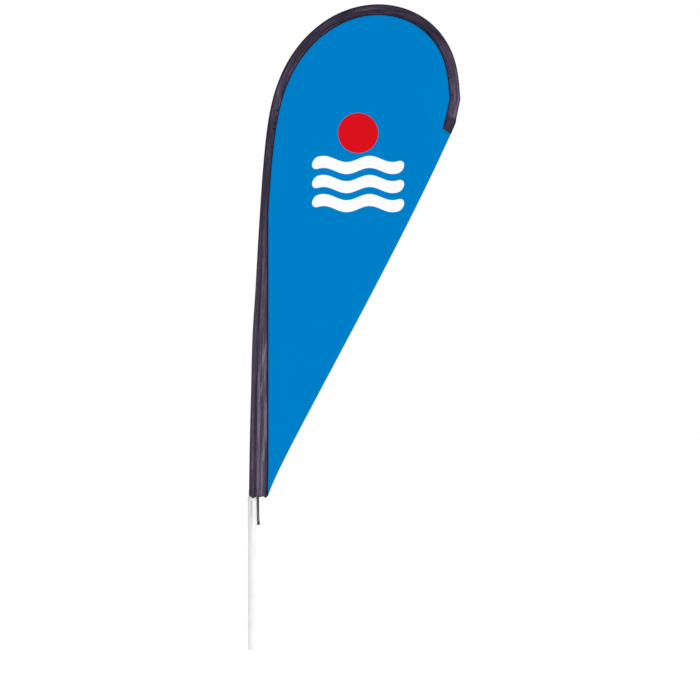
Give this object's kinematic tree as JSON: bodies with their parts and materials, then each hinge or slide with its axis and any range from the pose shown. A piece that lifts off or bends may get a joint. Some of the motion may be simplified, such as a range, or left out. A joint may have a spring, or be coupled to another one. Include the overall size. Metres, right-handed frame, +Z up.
{
  "type": "teardrop flag",
  "caption": "Teardrop flag: fabric panel in a sleeve over a bent sectional pole, plugged into a tubular lower pole with a swivelling collar.",
  "frame": {"origin": "middle of the lower pole's foot, on the pole's axis", "axes": "+Z up the pole, +X from the pole towards the flag's free edge, +Y square to the cloth; the front of the flag faces -Y"},
  "size_m": [0.7266, 0.031, 2.2008],
  "materials": {
    "silver_tube": "satin anodised",
    "collar_plastic": "smooth moulded",
    "bush_plastic": "moulded",
    "black_plastic": "moulded",
    "glass_fibre": "pultruded glass fibre",
    "ferrule_metal": "drawn tube",
    "sleeve_cloth": "dark woven polyester with a dull sheen",
    "band_cloth": "doubled hem and reinforcement",
    "flag_cloth": "blue dyed knitted polyester",
    "webbing": "folded webbing",
    "cord_cloth": "braided elastic cord"
  },
  "bodies": {
    "lower_pole": {"lower_pole_tube": "silver_tube", "foot_bush": "bush_plastic"},
    "collar": {"swivel_collar": "collar_plastic"},
    "flag_head": {"pole_end_plug": "black_plastic", "lower_pole_section": "glass_fibre", "lower_ferrule": "ferrule_metal", "middle_pole_section": "glass_fibre", "upper_ferrule": "ferrule_metal", "top_rod": "glass_fibre", "tip_cap": "black_plastic", "pole_sleeve": "sleeve_cloth", "mouth_band": "band_cloth", "end_patch": "band_cloth", "flag_panel": "flag_cloth", "cord_tab": "webbing", "cord_strand_left": "cord_cloth", "cord_strand_right": "cord_cloth", "cord_stopper": "black_plastic"}
  },
  "joints": [
    {"name": "head_swivel", "type": "hinge", "parent": "lower_pole", "child": "collar", "pos_m": [0, 0, 0.5065], "axis": [0, 0, 1], "continuous": true},
    {"name": "head_lift", "type": "slide", "parent": "collar", "child": "flag_head", "axis": [0, 0, 1], "range_m": [0, 0.13]}
  ]
}
